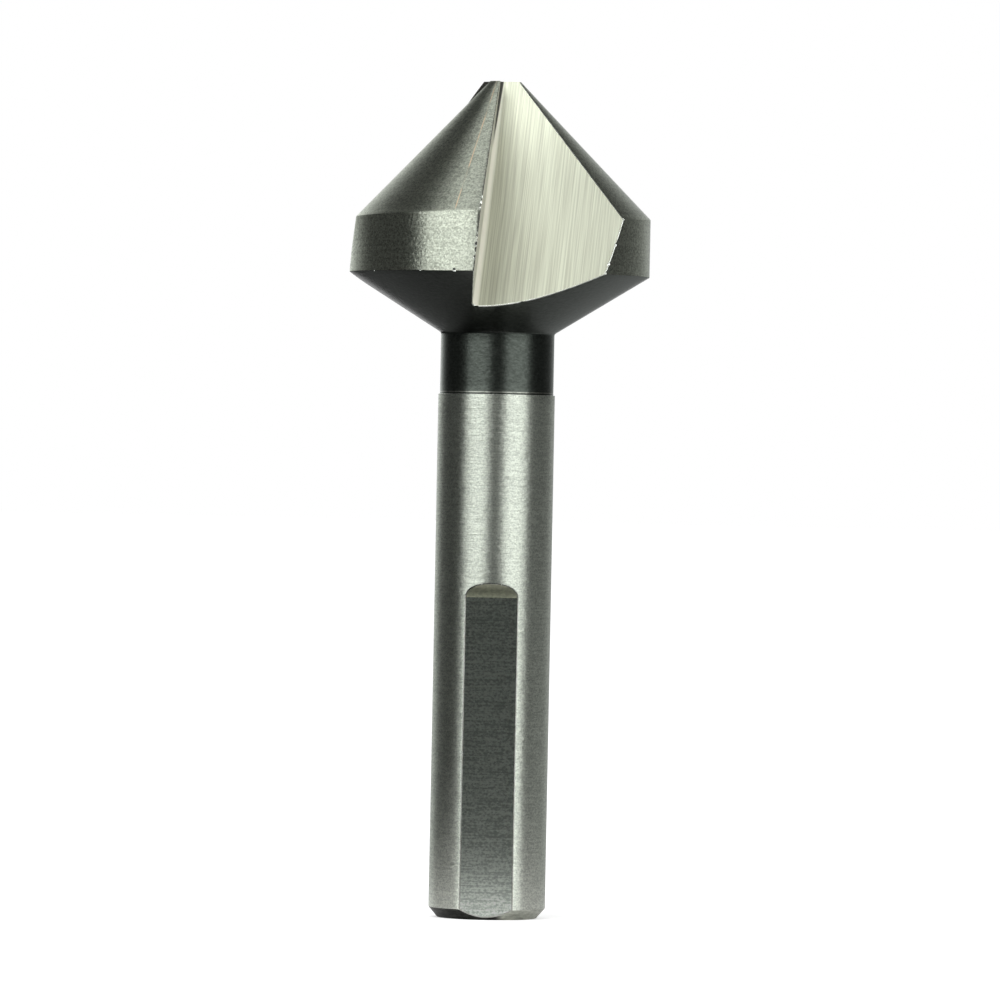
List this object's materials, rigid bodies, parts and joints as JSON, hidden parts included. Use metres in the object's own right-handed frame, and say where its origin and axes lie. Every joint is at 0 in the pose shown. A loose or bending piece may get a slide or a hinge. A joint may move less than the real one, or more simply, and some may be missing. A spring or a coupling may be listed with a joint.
{
  "type": "countersink bit",
  "caption": "Conical three-flute countersink bit with a relieved cutting cone, a round shank and flats for a drill chuck.",
  "frame": {"origin": "centre of the end face of the shank, on the tool's axis", "axes": "+Z along the tool's axis from the shank end to the cutting tip; the first flute and the first flat face -Y"},
  "size_m": [0.0308, 0.0309, 0.086],
  "materials": {
    "tool_steel": "ground high-speed steel, satin; bright flutes, dark neck"
  },
  "bodies": {
    "root": {"countersink_bit": "tool_steel"}
  },
  "joints": []
}
